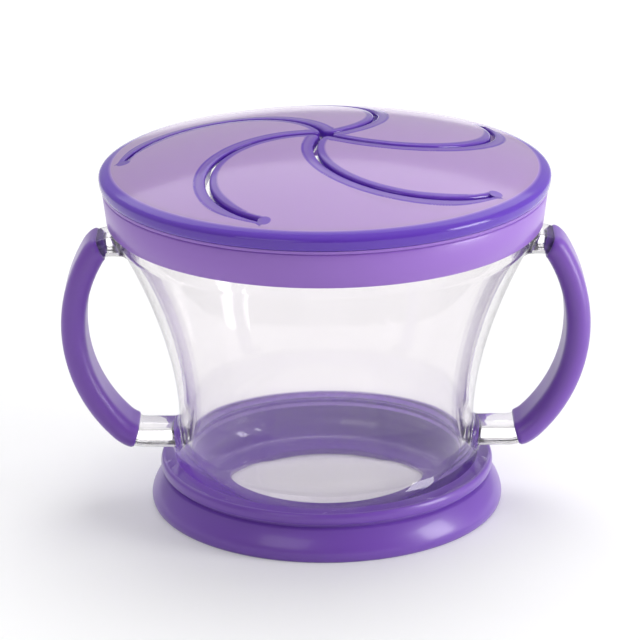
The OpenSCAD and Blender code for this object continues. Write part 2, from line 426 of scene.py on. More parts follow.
def add_surface(
    tree: NodeTree, height: str, swell_um: float, roughness: Span, swell_size: float | None = None
) -> None:
    """Gives a material the unevenness of moulded plastic, in its relief and its roughness.

    Args:
        tree: the material's node tree.
        height: the group's output that makes the relief.
        swell_um: height of that relief, in micrometres.
        roughness: the lowest and highest roughness.
        swell_size: how fine the swell is, where it isn't the group's own.
    """
    surface = add_node(tree, "Group", node_tree=MouldedSurface().group())
    if swell_size:
        feed(tree, surface, {"Swell size": swell_size})
    uneven = remap(tree, surface.outputs["Mottle"], roughness)
    bump = add_node(tree, "Bump", {"Height": surface.outputs[height], "Distance": swell_um * 1e-6})
    shade(tree, {"Roughness": uneven, "Normal": bump.outputs["Normal"]})


def blend_colours(tree: NodeTree, share: NodeSocket, plain: Colour, other: Colour) -> None:
    """Makes a material's colour a blend of two.

    Args:
        tree: the material's node tree.
        share: the share of the other colour.
        plain: the colour at share 0.
        other: the colour at share 1.
    """
    colours = {"Factor": share, "A": (*plain, 1), "B": (*other, 1)}
    shade(tree, {"Base Color": add_node(tree, "Mix", colours, data_type="RGBA").outputs["Result"]})


@dataclass(frozen=True)
class SoftPlastic:
    """Satin soft plastic that glows a little in thin places."""

    name: str  # the material's name
    colour: Colour  # its colour where it is thin
    deep: Colour  # its colour where it is thicker, also used as painted shade
    roughness: float  # the lowest roughness
    glow: float  # how much light passes under the surface
    glow_mm: float  # how far that light travels
    coat: float  # weight of the smooth clear layer on top
    swell_um: float  # height of the slow unevenness, in micrometres
    clear: float = 0.0  # how much light goes straight through it
    sheen: float = 0.0  # weight of the milky light at grazing angles
    glow_colour: Colour = (1.0, 0.7, 1.0)  # how far each colour of the glow travels, as a share
    coat_roughness: float = 0.12  # roughness of the clear layer
    sheen_roughness: float = 0.35  # how broad the milky light is
    uneven: float = 1.4  # the highest roughness, as a multiple of the lowest

    def material(self) -> Material:
        """The material.

        Returns:
            A new material with its nodes. The point attribute thick blends its two colours.
        """
        made = start_material(self.name, {
            "Subsurface Weight": self.glow,
            "Subsurface Radius": self.glow_colour,
            "Subsurface Scale": self.glow_mm * MM,
            "Coat Weight": self.coat,
            "Coat Roughness": self.coat_roughness,
            "Sheen Weight": self.sheen,
            "Sheen Roughness": self.sheen_roughness,
            "Transmission Weight": self.clear,
        })
        tree = made.node_tree
        if self.clear:
            let_light_through(tree, 1.0, 1 - self.clear)
        # A point attribute blends in the deep colour: thicker plastic, and painted shade beside the slits and
        # on the lid's shoulder band
        thick_and_shade = add_node(tree, "Attribute", attribute_name="thick_and_shade")
        blend_colours(tree, thick_and_shade.outputs["Fac"], self.colour, self.deep)
        add_surface(tree, "Height", self.swell_um, (self.roughness, self.roughness * self.uneven))
        return made


@dataclass(frozen=True)
class ClearPlastic:
    """Clear glossy plastic, darker edge-on, which lets light through to what it holds."""

    name: str = "clear_plastic"  # the material's name
    colour: Colour = (0.967, 0.949, 0.96)  # the tint that one surface gives to what shows through it
    # The tint where the surface is seen edge-on: partly from the longer path through plastic, partly painted
    # shade
    edge: Colour = (0.22, 0.19, 0.36)
    edge_on: Span = (0.8, 0.98)  # from how far edge-on to how far the tint changes, from 0 to 1
    ior: float = 1.46  # how strongly it bends light
    roughness: Span = (0.01, 0.05)  # the lowest and highest roughness
    swell_um: float = 6.0  # height of the slow unevenness, in micrometres
    swell_size: float = 45.0  # how fine that unevenness is, as waves to the metre
    clear: float = 0.994  # how clear it is: the rest is a faint haze
    cover: float = 0.97  # how much of the surface counts when it is looked at
    kept: float = 0.1  # the share of light that it keeps from what lies behind it

    def material(self) -> Material:
        """The material.

        Returns:
            A new material with its nodes.
        """
        made = start_material(self.name, {"IOR": self.ior, "Transmission Weight": self.clear})
        tree = made.node_tree
        let_light_through(tree, self.cover, self.kept)
        # Painted shade edge-on: a darker tint at grazing angles, partly for the longer path through plastic
        facing = add_node(tree, "LayerWeight", {"Blend": 0.5}).outputs["Facing"]
        share = remap(tree, facing, (0.0, 1.0), self.edge_on, "SMOOTHSTEP")
        blend_colours(tree, share, self.colour, self.edge)
        add_surface(tree, "Mottle", self.swell_um, self.roughness, self.swell_size)
        return made


GRIP_PURPLE, BASE_PURPLE, RING_PURPLE = (0.2, 0.077, 0.46), (0.195, 0.073, 0.48), (0.32, 0.15, 0.6)
TOP_LILAC = (0.54, 0.36, 0.67)
GRIP_FINISH = SoftPlastic("soft_grip", GRIP_PURPLE, GRIP_PURPLE, 0.32, 0.1, 1.0, 0.15, 8, sheen=0.3)
BASE_FINISH = SoftPlastic("soft_base", BASE_PURPLE, BASE_PURPLE, 0.28, 0.1, 1.0, 0.3, 8, sheen=0.2)
RING_FINISH = SoftPlastic("lid_plastic", RING_PURPLE, RING_PURPLE, 0.28, 0.05, 0.6, 0.2, 5)
# The soft top's and band's deep colours stand for thicker plastic and also paint shade beside the slits and
# on the band
TOP_FINISH = SoftPlastic("soft_top", TOP_LILAC, (0.15, 0.045, 0.52), 0.1, 0.35, 1.6, 0.0, 2, clear=0.3)
BAND_FINISH = SoftPlastic("soft_band", TOP_LILAC, (0.125, 0.042, 0.47), 0.12, 0.2, 1.0, 0.0, 2)


@dataclass
class ClearBody:
    """The clear moulding: the waisted cup and its two handle bars, united in one mesh."""

    waist_r: float = 32.6  # outer radius at the waist
    waist_z: float = 19.8  # height of the waist
    rim_r: float = 45.4  # outer radius of the rim
    rim_z: float = 72.6  # height of the top of the rim
    flare_z: float = 62.0  # height at which the wall becomes straight
    flare_power: float = 1.75  # how late the wall flares
    foot_r: float = 35.9  # outer radius where the wall spreads over the base
    foot_z: float = 10.3  # height of the top of the soft base
    foot_power: float = 6.0  # how suddenly it spreads
    wall: float = 2.0  # wall thickness
    floor_z: float = 3.0  # height of the floor inside
    bottom_z: float = 1.4  # height of the floor's underside
    seat_r: float = 32.6  # outer radius of the foot inside the base
    seat_z: float = 9.5  # height of the step that the base's top edge fills
    seat_corner: float = 7.0  # radius of the foot's lower edge
    corner_r: float = 5.4  # radius of the hollow corner inside
    edge_r: float = 0.6  # radius of the rim's rounded edges
    bead_out: float = 0.3  # how far the snap bead stands out
    bead_z: float = 70.2  # height of the snap bead
    bead_h: float = 1.6  # how high the snap bead is
    reach: float = 57.99  # distance to the outside of a grip
    bend_r: float = 32.7  # radius of the main bend
    bend_z: float = 41.1  # height of its centre
    bend_up: float = 31.0  # where it ends above level, in degrees
    bend_down: float = 46.0  # where it ends below level, in degrees
    upper_r: float = 4.0  # radius of the upper bend
    lower_r: float = 8.0  # radius of the lower bend
    bar_t: float = 4.2  # thickness of the bar
    bar_w: float = 12.0  # width of the bar
    grip_wall: float = 0.6  # thickness of the grips
    grip_up: float = 34.0  # how far a grip runs into the upper bend, in degrees
    grip_down: float = 27.0  # how far it runs into the lower bend, in degrees
    grip_end: float = 1.1  # length over which a grip's end is rounded
    grip_lip: float = 0.25  # thickness of that end, as a share of the grip's
    cling: float = 0.02  # how deep a grip sits in the bar it clings to, so that no air shows between them
    root_r: float = 1.6  # radius of the fillets at the roots
    steps: int = 192  # steps round the axis
    sharp: float = 35.0  # angle above which its edges stay sharp, in degrees

    def wall_r(self, z: float) -> float:
        """Outer radius of the cup.

        Args:
            z: the height.

        Returns:
            The radius there.
        """
        if z >= self.flare_z:
            return self.rim_r
        if z >= self.waist_z:
            t = (z - self.waist_z) / (self.flare_z - self.waist_z)
            return self.waist_r + (self.rim_r - self.waist_r) * t**self.flare_power
        t = min(1.0, (self.waist_z - z) / (self.waist_z - self.foot_z))
        return self.waist_r + (self.foot_r - self.waist_r) * t**self.foot_power

    def profile(self) -> list[Point2]:
        """The cup's closed profile, from the axis under the floor, up the outside and down the inside.

        Returns:
            Radius and height of each corner.
        """
        low_steps, high_steps, bead_steps = 14, 44, 6
        low, high = self.waist_z - self.foot_z, self.flare_z - self.waist_z
        heights = [self.foot_z + low * (i / low_steps) ** 1.6 for i in range(low_steps + 1)]
        heights += [self.waist_z + high * i / high_steps for i in range(1, high_steps + 1)]
        outside = [(self.wall_r(z), z) for z in heights]
        bead = []
        for i in range(bead_steps + 1):
            out = self.bead_out * math.sin(math.pi * i / bead_steps)
            bead.append((self.rim_r + out, self.bead_z + self.bead_h * (i / bead_steps - 0.5)))
        e = self.edge_r
        inner = self.rim_r - self.wall
        turns = (0, 0.5, 1.05, 1.57)
        lip = [(self.rim_r - e + e * math.cos(a), self.rim_z - e + e * math.sin(a)) for a in turns]
        lip += [(inner + e - e * math.cos(a), self.rim_z - e + e * math.sin(a)) for a in reversed(turns)]
        inside = [(self.wall_r(z) - self.wall, z) for z in reversed(heights[low_steps + 1 :])]
        waist_in = self.waist_r - self.wall
        c = self.corner_r
        corner = corner_points((waist_in - c, self.floor_z + c), c, c, (0, -90), 10)
        s = self.seat_corner
        foot = [(0, self.bottom_z)]
        foot += corner_points((self.seat_r - s, self.bottom_z + s), s, s, (-90, 0), 10)
        foot += [(self.seat_r, self.seat_z), (self.foot_r, self.seat_z)]
        hollow = inside + [(waist_in, self.waist_z)] + corner + [(0, self.floor_z)]
        return foot + outside + bead + lip + hollow

    def bend_centres(self) -> tuple[Vector, Vector, Vector]:
        """Centres of the three bends.

        Returns:
            The main, upper and lower centre, as x and z.
        """
        main = Vector((self.reach - self.bend_r - self.bar_t / 2 - self.grip_wall, self.bend_z))
        up, down = math.radians(self.bend_up), math.radians(-self.bend_down)
        upper = main + (self.bend_r - self.upper_r) * Vector((math.cos(up), math.sin(up)))
        lower = main + (self.bend_r - self.lower_r) * Vector((math.cos(down), math.sin(down)))
        return main, upper, lower

    def loop(self, upper_to: float, lower_to: float) -> list[tuple[Vector, float]]:
        """The bar's middle line through its three bends.

        Args:
            upper_to: the angle at which the upper bend ends, in degrees.
            lower_to: the angle at which the lower bend starts, in degrees.

        Returns:
            Each point as x and z, with the angle of the section's thickness there in degrees.
        """
        main, upper, lower = self.bend_centres()
        bends = (
            (lower, self.lower_r, lower_to, -self.bend_down, 14),
            (main, self.bend_r, -self.bend_down, self.bend_up, 44),
            (upper, self.upper_r, self.bend_up, upper_to, 12),
        )
        found: list[tuple[Vector, float]] = []
        for centre, radius, start, end, count in bends:
            points = arc_points(centre, radius, start, end, count)
            turns = [start + (end - start) * i / count for i in range(count + 1)]
            found += list(zip(points, turns))[1 if found else 0 :]
        return found

    def section(self, t: float, w: float) -> list[Point2]:
        """A flat bar's section with round edges.

        Args:
            t: its thickness.
            w: its width.

        Returns:
            Thickness and width offsets of its points.
        """
        round_steps, flat_steps = 9, 8
        half = (w - t) / 2
        turns = [math.pi * i / round_steps for i in range(round_steps + 1)]
        edge = [(t / 2 * math.cos(a), half + t / 2 * math.sin(a)) for a in turns]
        edge += [(-t / 2, half - 2 * half * i / flat_steps) for i in range(1, flat_steps)]
        return edge + [(-x, -y) for x, y in edge]

    def ring(self, at: Vector, turn: float, t: float, w: float) -> list[Vector]:
        """One ring of a bar in the plane that stands across its line.

        Args:
            at: x and z of the middle line.
            turn: the angle of the section's thickness, in degrees.
            t: the bar's thickness.
            w: the bar's width.

        Returns:
            The ring's points.
        """
        a = math.radians(turn)
        return [Vector((at.x + p * math.cos(a), q, at.y + p * math.sin(a))) for p, q in self.section(t, w)]

    def root(self, z: float, top: bool) -> list[list[Vector]]:
        """Rings from inside the cup's wall out to the plain arm, flared to a fillet.

        Args:
            z: height of the arm's middle.
            top: whether it is the upper arm, whose section is turned the other way round.

        Returns:
            Rings from the wall outwards.
        """
        rings = []
        r = self.root_r
        for out in (-1.0, 0.02, 0.1, 0.25, 0.45, 0.7, 1.0, 1.3, r):
            lift = r - math.sqrt(max(0.0, r * r - (r - max(0.0, out)) ** 2))
            sign = 1 if top else -1
            ring = []
            for p, q in self.section(self.bar_t + 2 * lift, self.bar_w + 2 * lift):
                height = z + sign * p
                ring.append(Vector((math.sqrt((self.wall_r(height) + out) ** 2 - q * q), q, height)))
            rings.append(ring)
        return rings

    def bar(self) -> BMesh:
        """The right handle's bar, from the lower root round to the upper one.

        Returns:
            A closed mesh.
        """
        _, upper, lower = self.bend_centres()
        low_z, high_z = lower.y - self.lower_r, upper.y + self.upper_r
        rings = self.root(low_z, False)
        rings += [self.ring(p, turn, self.bar_t, self.bar_w) for p, turn in self.loop(90, -90)]
        return sweep(rings + list(reversed(self.root(high_z, True))))

    def grip(self) -> BMesh:
        """The right handle's soft sleeve, with its ends rounded down to the bar.

        Returns:
            A closed mesh.
        """
        line = self.loop(self.bend_up + self.grip_up, -self.bend_down - self.grip_down)
        lengths = [0.0]
        for (a, _), (b, _) in zip(line, line[1:]):
            lengths.append(lengths[-1] + (b - a).length)
        bm = bmesh.new()
        outer, inner = [], []
        for (at, turn), run in zip(line, lengths):
            t = min(1.0, min(run, lengths[-1] - run) / self.grip_end)
            out = self.grip_wall * (self.grip_lip + (1 - self.grip_lip) * math.sqrt(1 - (1 - t) ** 2))
            for rings, off in ((inner, -self.cling), (outer, out)):
                ring = self.ring(at, turn, self.bar_t + 2 * off, self.bar_w + 2 * off)
                rings.append([bm.verts.new(v) for v in ring])
        bridge(bm, outer + inner[::-1] + outer[:1])
        return bm

    def build(self, clear: Material, grip: Material) -> None:
        """Makes the clear body and both grips.

        Args:
            clear: the clear finish.
            grip: the grips' finish.
        """
        body = new_piece("clear_body", lathe(self.profile(), self.steps), self.sharp)
        bars = []
        for side in (1, -1):
            bars.append(new_piece("bar", for_side(self.bar(), side)))
            join = body.modifiers.new("join", "BOOLEAN")
            join.operation, join.solver, join.object = "UNION", "MANIFOLD", bars[-1]
        united = bpy.data.meshes.new_from_object(body.evaluated_get(bpy.context.evaluated_depsgraph_get()))
        body.modifiers.clear()
        united.materials.clear()
        body.data = united
        for bar in bars:
            bpy.data.objects.remove(bar)
        united.shade_smooth()
        united.set_sharp_from_angle(angle=math.radians(self.sharp))
        dress(body, clear, Slot.CLEAR, "cup", "cup_foot", "cup_floor", "handle_left", "handle_right")
        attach(body, Body.CUP.value)
        for side, name in ((1, "right"), (-1, "left")):
            piece = new_piece(f"soft_grip_{name}", for_side(self.grip(), side))
            dress(piece, grip, Slot.GRIP, f"grip_{name}")
            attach(piece, Body.CUP.value)


@dataclass
class SoftBase:
    """The soft ring round the foot: a flat sole, a skirt, a groove and a rounded bead on top."""

    height: float = 10.3  # its height
    foot_r: float = 35.9  # outer radius of the clear foot at its top
    seat_r: float = 32.5  # radius of the seat under the clear foot
    seat_z: float = 9.6  # height of the step in that seat
    seat_corner: float = 6.9  # radius of the seat's corner
    sole: float = 1.5  # height of the seat's bottom
    window_r: float = 22.4  # radius of the window under the clear floor
    window_edge: float = 0.3  # how much the window's edges are cut off
    skirt_r: float = 39.0  # outer radius of the skirt
    skirt_z: float = 1.6  # height at which it is widest
    skirt_power: float = 1.7  # how late it draws in
    toe_r: float = 0.7  # how far its lower edge is rounded inwards
    groove_z: float = 6.7  # height of the groove's lower edge
    groove_r: float = 36.3  # radius of that edge
    groove_in: float = 0.8  # depth of the groove
    groove_edge: float = 0.3  # height over which the groove slopes in at its edges
    lip_h: float = 2.5  # height of the bead
    lip_out: float = 1.0  # how far it stands out from the clear foot
    lip_r: float = 0.6  # how far it is rounded outwards
    cling: float = 0.1  # how deep it sits in the clear foot it clings to, so that no air shows between them
    steps: int = 192  # steps round the axis

    def profile(self) -> list[Point2]:
        """The closed profile, from the window's lower edge outwards and up.

        Returns:
            Radius and height of each corner.
        """
        toe_c = (self.skirt_r - self.toe_r, self.skirt_z)
        toe = corner_points(toe_c, self.toe_r, self.skirt_z, (-90, 0), 8)
        skirt = []
        skirt_steps = 20
        for i in range(1, skirt_steps + 1):
            t = i / skirt_steps
            r = self.groove_r + (self.skirt_r - self.groove_r) * (1 - t**self.skirt_power)
            skirt.append((r, self.skirt_z + (self.groove_z - self.skirt_z) * t))
        deep_r = self.groove_r - self.groove_in
        groove = [(deep_r, self.groove_z + self.groove_edge), (deep_r, self.height - self.lip_h - 0.25)]
        h = self.lip_h / 2
        lip_c = (self.foot_r + self.lip_out - self.lip_r, self.height - h)
        bead = corner_points(lip_c, self.lip_r, h, (-80, 90), 14)
        top_r = self.foot_r - self.cling
        seat = [(top_r, self.height - 0.02), (top_r, self.seat_z), (self.seat_r, self.seat_z)]
        s, w = self.seat_corner, self.window_edge
        sole = corner_points((self.seat_r - s, self.sole + s), s, s, (0, -90), 10)
        sole += [(self.window_r + w, self.sole), (self.window_r, self.sole - w)]
        return [(self.window_r, w), (self.window_r + w, 0)] + toe + skirt + groove + bead + seat + sole

    def build(self, finish: Material) -> None:
        """Makes the base.

        Args:
            finish: its material.
        """
        piece = new_piece("soft_base_ring", lathe(self.profile(), self.steps))
        dress(piece, finish, Slot.BASE, "base_ring")
        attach(piece, Body.CUP.value)


@dataclass
class Lid:
    """The rigid ring and the soft top with its rim and five curved flaps."""

    collar_in: float = 46.3  # inner radius of the collar
    collar_r: float = 48.3  # outer radius of the collar at its top
    collar_taper: float = 0.8  # how much thinner it is below
    collar_low: float = 65.0  # height of its lower edge
    ring_top: float = 74.0  # height of the ring's top
    plate_z: float = 72.9  # height of the plate's underside
    plate_r: float = 44.4  # inner radius of the plate
    tongue_r: float = 45.7  # inner radius of the tongue
    tongue: float = 1.4  # its width and height
    seam_z: float = 72.5  # height of the thin line under the ring's bead
    skirt_z: float = 73.4  # height down to which the soft top covers the ring
    skirt_in: float = 47.8  # inner radius of that cover
    catch_z: float = 67.4  # height of the snap bead inside
    band_r: float = 49.0  # radius at the widest line of the soft top
    band_z: float = 75.3  # height of that line
    shoulder_r: float = 46.2  # radius at which the dome begins
    shoulder_z: float = 77.1  # height at which it begins
    dome_r: float = 157.032  # radius of the dome's ball
    dome_z: float = -72.9818  # height of that ball's centre
    skin: float = 1.2  # thickness of the soft skin
    slit_r: float = 22.0855  # radius of the slits' arcs
    slit_w: float = 0.9  # width of a slit
    slit_reach: float = 43.5  # distance from the middle to a slit's end
    slit_turn: float = 80.0  # angle from a slit's start to its end, seen from the middle
    slit_at: float = -34.8  # direction of the first slit's end
    end_r: float = 0.8  # radius of a slit's round end
    tip_r: float = 1.5  # radius of a flap's tip
    edge_w: float = 1.6  # width of the lip under a slit's edge
    edge_h: float = 1.5  # depth of that lip
    edge_gap: float = 4.0  # length beside the hinge without a lip
    edge_soft: float = 0.25  # width over which a lip fades out, to each side of its edge
    fillet: float = 0.8  # radius between a slit and its round end
    round_top: float = 0.5  # radius of the slits' upper edges
    flaps: int = 5  # number of flaps
    seen_dark: float = 0.9  # how dark the band inside a slit's arc is: the lip under the skin, and painted shade
    seen_end: Span = (1.3, 1.9)  # where that dark band fades, in mm from the slit
    pale_dark: float = 0.76  # how dark the band outside the arc is: the lip under the skin, and painted shade
    pale_border: Span = (1.85, 2.1)  # where that paler band turns into its dark border
    pale_end: Span = (2.4, 2.7)  # where the border ends
    narrow: float = 0.42  # width of the bands at a slit's end, as a share of their full width
    narrow_run: float = 14.0  # length over which they widen
    # Distances of the mesh's rows beside the slits, closer where the bands change
    rows: tuple[float, ...] = (0.9, 1.35, 1.6, 1.85, 2.1, 2.4, 2.7)
    cell: float = 1.7  # size of the mesh's triangles away from the slits
    clear_of: float = 0.45  # how far the mesh's inner points stay off its edge
    seam_radii: Span = (45.2, 45.7)  # radii of the points on the seam between two leaves
    bend_run: float = 8.0  # length of a flap's root
    ring_steps: int = 240  # steps round the rigid ring
    rim_steps: int = 180  # steps round the soft rim

    def __post_init__(self) -> None:
        """Works out the slits' places, in the frame of the slit that starts along +X."""
        turn, end = 2 * math.pi / self.flaps, math.radians(self.slit_turn)
        self.slit_c = Vector((0, self.slit_r))
        self.next_c = self.slit_r * Vector((-math.sin(turn), math.cos(turn)))
        self.slit_end = self.slit_reach * Vector((math.cos(end), math.sin(end)))
        self.next_end = Matrix.Rotation(turn, 2) @ self.slit_end
        self.hinge_in = self.next_c + self.slit_r * (self.slit_end - self.next_c).normalized()
        along = (self.slit_end - self.hinge_in).normalized()
        self.inward = Vector((along.y, -along.x))

    def dome(self, p: Vector) -> float:
        """Height of the dome over a point."""
        return self.dome_z + math.sqrt(self.dome_r**2 - p.x**2 - p.y**2)

    def thickness(self, p: Vector) -> float:
        """Thickness of the soft top, with the lips along the slits.

        Args:
            p: a point.

        Returns:
            The thickness there.
        """
        convex = self.slit_r - self.slit_w / 2 - (p - self.slit_c).length
        concave = (p - self.next_c).length - self.slit_r - self.slit_w / 2
        from_hinge = (p - self.hinge_in).dot(self.inward)
        flap_side = smooth(self.edge_gap - 1, self.edge_gap + 1, from_hinge)
        rim_side = smooth(self.edge_gap - 1, self.edge_gap + 1, -from_hinge)
        rim_side *= 1 - smooth(self.slit_reach - 3, self.slit_reach - 1.2, p.length)
        low, high = self.edge_w - self.edge_soft, self.edge_w + self.edge_soft
        by_convex = flap_side * (1 - smooth(low, high, convex))
        by_concave = max(flap_side, rim_side) * (1 - smooth(low, high, concave))
        return self.skin + self.edge_h * max(by_convex, by_concave)

    def from_slits(self, p: Vector) -> tuple[float, float]:
        """How far a point is from its own slit and from the next.

        Args:
            p: the point.

        Returns:
            Both distances, in mm where the bands beside the slits have their full width.
        """
        found = []
        for i, (centre, end) in enumerate(((self.slit_c, self.slit_end), (self.next_c, self.next_end))):
            distance = ((p - end).length - self.end_r) / self.taper(0)
            spoke = p - centre
            angle = math.degrees(math.atan2(spoke.y, spoke.x)) + 90 - i * 360 / self.flaps
            if angle % 360 <= 2 * self.slit_turn:
                left = math.radians(2 * self.slit_turn - angle % 360) * self.slit_r
                beside = abs(spoke.length - self.slit_r) - self.slit_w / 2
                distance = min(distance, beside / self.taper(left))
            found.append(distance)
        return found[0], found[1]

    def taper(self, left: float) -> float:
        """How wide the band beside a slit is at a length from its end, as a share of its full width."""
        return self.narrow + (1 - self.narrow) * smooth(0, self.narrow_run, left)

    def shade(self, p: Vector) -> float:
        """How deep the colour is beside the slits, partly for the lips under the skin, partly as painted
        shade: a dark band inside a slit's arc, a paler one outside.

        Args:
            p: the point.

        Returns:
            A share from 0 to 1.
        """
        own, other = self.from_slits(p)
        inside = self.seen_dark * (1 - smooth(*self.seen_end, own))
        border = self.pale_dark + (1 - self.pale_dark) * smooth(*self.pale_border, other)
        return max(inside, border * (1 - smooth(*self.pale_end, other)))

    def meet(self, a: Vector, ra: float, b: Vector, rb: float, near: Vector) -> Vector:
        """Where two circles cross.

        Args:
            a: centre of the first.
            ra: its radius.
            b: centre of the second.
            rb: its radius.
            near: the point that picks one of the two crossings.

        Returns:
            The crossing nearer to that point.
        """
        d = b - a
        x = (ra * ra - rb * rb + d.length_squared) / (2 * d.length)
        u = d.normalized()
        y = math.sqrt(ra * ra - x * x)
        side = Vector((-u.y, u.x))
        both = (a + x * u + y * side, a + x * u - y * side)
        return min(both, key=lambda p: (p - near).length)

    def edge_line(self) -> tuple[list[Vector], list[Vector]]:
        """The open edge of a leaf: pill end, slit, tip, next slit, next pill end.

        Returns:
            Points from the seam at its own slit's end to the seam at the next one's, and at each point the
            direction into the soft top.
        """
        inner, outer = self.slit_r - self.slit_w / 2, self.slit_r + self.slit_w / 2
        own, other = self.slit_c, self.next_c
        fillet = self.fillet
        start = self.slit_turn
        turn = 360 / self.flaps
        near = Vector((20, 38))
        own_fillet = self.meet(own, inner - fillet, self.slit_end, self.end_r + fillet, near)
        far = Matrix.Rotation(math.radians(turn), 2) @ near
        next_fillet = self.meet(other, outer + fillet, self.next_end, self.end_r + fillet, far)
        tip = self.meet(own, inner - self.tip_r, other, outer + self.tip_r, Vector((0, 0)))
        fine, coarse = 0.3, 0.7
        points: list[Vector] = []
        inward: list[Vector] = []

        def add_arc(centre: Vector, radius: float, a: float, b: float, step: float, outward: bool) -> None:
            """Adds an arc to the edge.

            Args:
                centre: its centre.
                radius: its radius.
                a: its first angle in degrees.
                b: its last angle.
                step: the distance between its points.
                outward: whether the soft top lies away from its centre.
            """
            count = max(2, round(abs(math.radians(b - a)) * radius / step))
            for p in arc_points(centre, radius, a, b, count)[1 if points else 0 :]:
                points.append(p)
                away = (p - centre).normalized()
                inward.append(away if outward else -away)

        def angle(frm: Vector, to: Vector, near: float) -> float:
            """Direction from one point to another in degrees, within a half turn of a value."""
            a = math.degrees(math.atan2(to.y - frm.y, to.x - frm.x))
            return a + 360 * round((near - a) / 360)

        pill_turn = angle(self.slit_end, own_fillet, start - 220)
        pill_last = pill_turn + 360 if pill_turn + 360 < start else pill_turn
        add_arc(self.slit_end, self.end_r, start, pill_last, fine, True)
        first = angle(own_fillet, self.slit_end, pill_turn + 180)
        last = angle(own_fillet, own_fillet * 2 - own, first)
        add_arc(own_fillet, fillet, first, last, fine, False)
        last = angle(own, own_fillet, 60)
        add_arc(own, inner, last, angle(own, tip, -90), coarse, False)
        own_tip, other_tip = angle(tip, tip * 2 - own, -100), angle(tip, other, -200)
        add_arc(tip, self.tip_r, own_tip, other_tip, fine, False)
        add_arc(other, outer, angle(other, tip, -90), angle(other, next_fillet, 60), coarse, True)
        first = angle(next_fillet, other, angle(other, next_fillet, 60) + 180)
        last = angle(next_fillet, self.next_end, first)
        add_arc(next_fillet, fillet, first, last, fine, False)
        first = angle(self.next_end, next_fillet, start)
        add_arc(self.next_end, self.end_r, first, start + turn, fine, True)
        return points, inward

    def leaf(self) -> BMesh:
        """One leaf: a flap, its root, and the dome between its slit and the next, out to the shoulder.

        Returns:
            A closed mesh in the frame of the slit that starts along +X, with the point attribute thick.
        """
        edge, inward = self.edge_line()
        bm = bmesh.new()
        thick_and_shade = bm.verts.layers.float.new("thick_and_shade")

        def place(p: Vector, depth: float, share: float) -> BMVert:
            """Makes a vertex under the dome.

            Args:
                p: its place, seen from above.
                depth: how deep it lies.
                share: its share of the deep colour, for thickness and painted shade.

            Returns:
                The vertex.
            """
            vert = bm.verts.new((p.x, p.y, self.dome(p) - depth))
            vert[thick_and_shade] = share
            return vert

        rings: list[list[BMVert]] = []
        r = self.round_top
        upper = [(r * (1 - math.sin(a)), r * (1 - math.cos(a))) for a in (0.0, 0.4, 0.8, 1.2, math.pi / 2)]
        # Over each slit's rounded upper edge the colour deepens to the lip's: painted shade going into the
        # slit
        for inset, depth in upper:
            share = self.seen_dark + (1 - self.seen_dark) * depth / r
            rings.append([place(p + inset * n, depth, share) for p, n in zip(edge, inward)])
        for inset, up in ((0.0, 0.3), (0.09, 0.09), (0.3, 0.0)):
            spots = [p + inset * n for p, n in zip(edge, inward)]
            rings.append([place(p, self.thickness(p) - up, 1.0) for p in spots])
        for a, b in zip(rings, rings[1:]):
            for i in range(len(edge) - 1):
                bm.faces.new((a[i], a[i + 1], b[i + 1], b[i]))

        turn = 360 / self.flaps
        first, last = (math.radians(a) for a in (self.slit_turn + turn, self.slit_turn))
        steps = 36
        rim = [first + (last - first) * i / steps for i in range(steps + 1)]

        def on_rim(a: float, radius: float) -> Vector:
            """The point at an angle and a radius."""
            return Vector((math.cos(a), math.sin(a))) * radius

        skins = []
        for ring, depth in ((rings[0], 0.0), (rings[-1], self.skin)):
            out = [place(on_rim(first, r), depth, 0.0) for r in self.seam_radii]
            arc = [place(on_rim(a, self.shoulder_r), depth, 0.0) for a in rim]
            back = [place(on_rim(last, r), depth, 0.0) for r in reversed(self.seam_radii)]
            skins.append((out, arc, back))
            self.fill(bm, ring + out + arc + back, depth, place)
        (out_t, arc_t, back_t), (out_b, arc_b, back_b) = skins
        for i in range(steps):
            bm.faces.new((arc_t[i], arc_t[i + 1], arc_b[i + 1], arc_b[i]))
        corner = [ring[-1] for ring in rings]
        bm.faces.new(corner + out_b + [arc_b[0], arc_t[0]] + list(reversed(out_t)))
        corner = [ring[0] for ring in rings]
        bm.faces.new(corner + list(reversed(back_b)) + [arc_b[-1], arc_t[-1]] + back_t)
        return bm

    def fill(self, bm: BMesh, loop: list[BMVert], depth: float, place: Placer) -> None:
        """Fills a loop of the dome's upper or lower skin with triangles, in rows beside the slits.

        Args:
            bm: the mesh.
            loop: the loop's vertices.
            depth: 0 for the upper skin, or the skin's thickness for the lower one.
            place: makes a vertex at a point, depth and share of the deep colour, for thickness and painted
                shade.
        """
        flat = [Vector(v.co[:2]) for v in loop]
        spots: list[Vector] = []
        for e in self.rows:
            gap = 0.8 + 0.3 * e
            near = self.beside(self.slit_c, -90, -e, round(150 / gap))
            near += self.beside(self.next_c, 360 / self.flaps - 90, e, round(160 / gap))
            count = round(6 * (self.end_r + e)) * 2
            for end in (self.slit_end, self.next_end):
                near += arc_points(end, self.end_r + e * self.taper(0), 0, 348, count)
            spots += [p for p in near if abs(min(self.from_slits(p)) - e) < 0.06]
        reach = 30
        for j in range(-reach, reach + 1):
            for i in range(-reach, reach + 1):
                p = Vector(((i + 0.5 * (j % 2)) * self.cell, j * self.cell * 0.866))
                if min(self.from_slits(p)) > self.rows[-1] + 0.6:
                    spots.append(p)
        kept = [p for p in spots if self.clear_inside(p, flat)]
        made = delaunay_2d_cdt(flat + kept, [], [list(range(len(flat)))], 1, 1e-5)
        verts = []
        for p, origin in zip(made[0], made[3]):
            if origin and origin[0] < len(loop):
                verts.append(loop[origin[0]])
            elif depth:
                verts.append(place(p, self.thickness(p), 1.0))
            else:
                # The upper skin takes painted shade beside the slits, over the lips under it
                verts.append(place(p, 0.0, self.shade(p)))
        for face in made[2]:
            bm.faces.new([verts[i] for i in face])

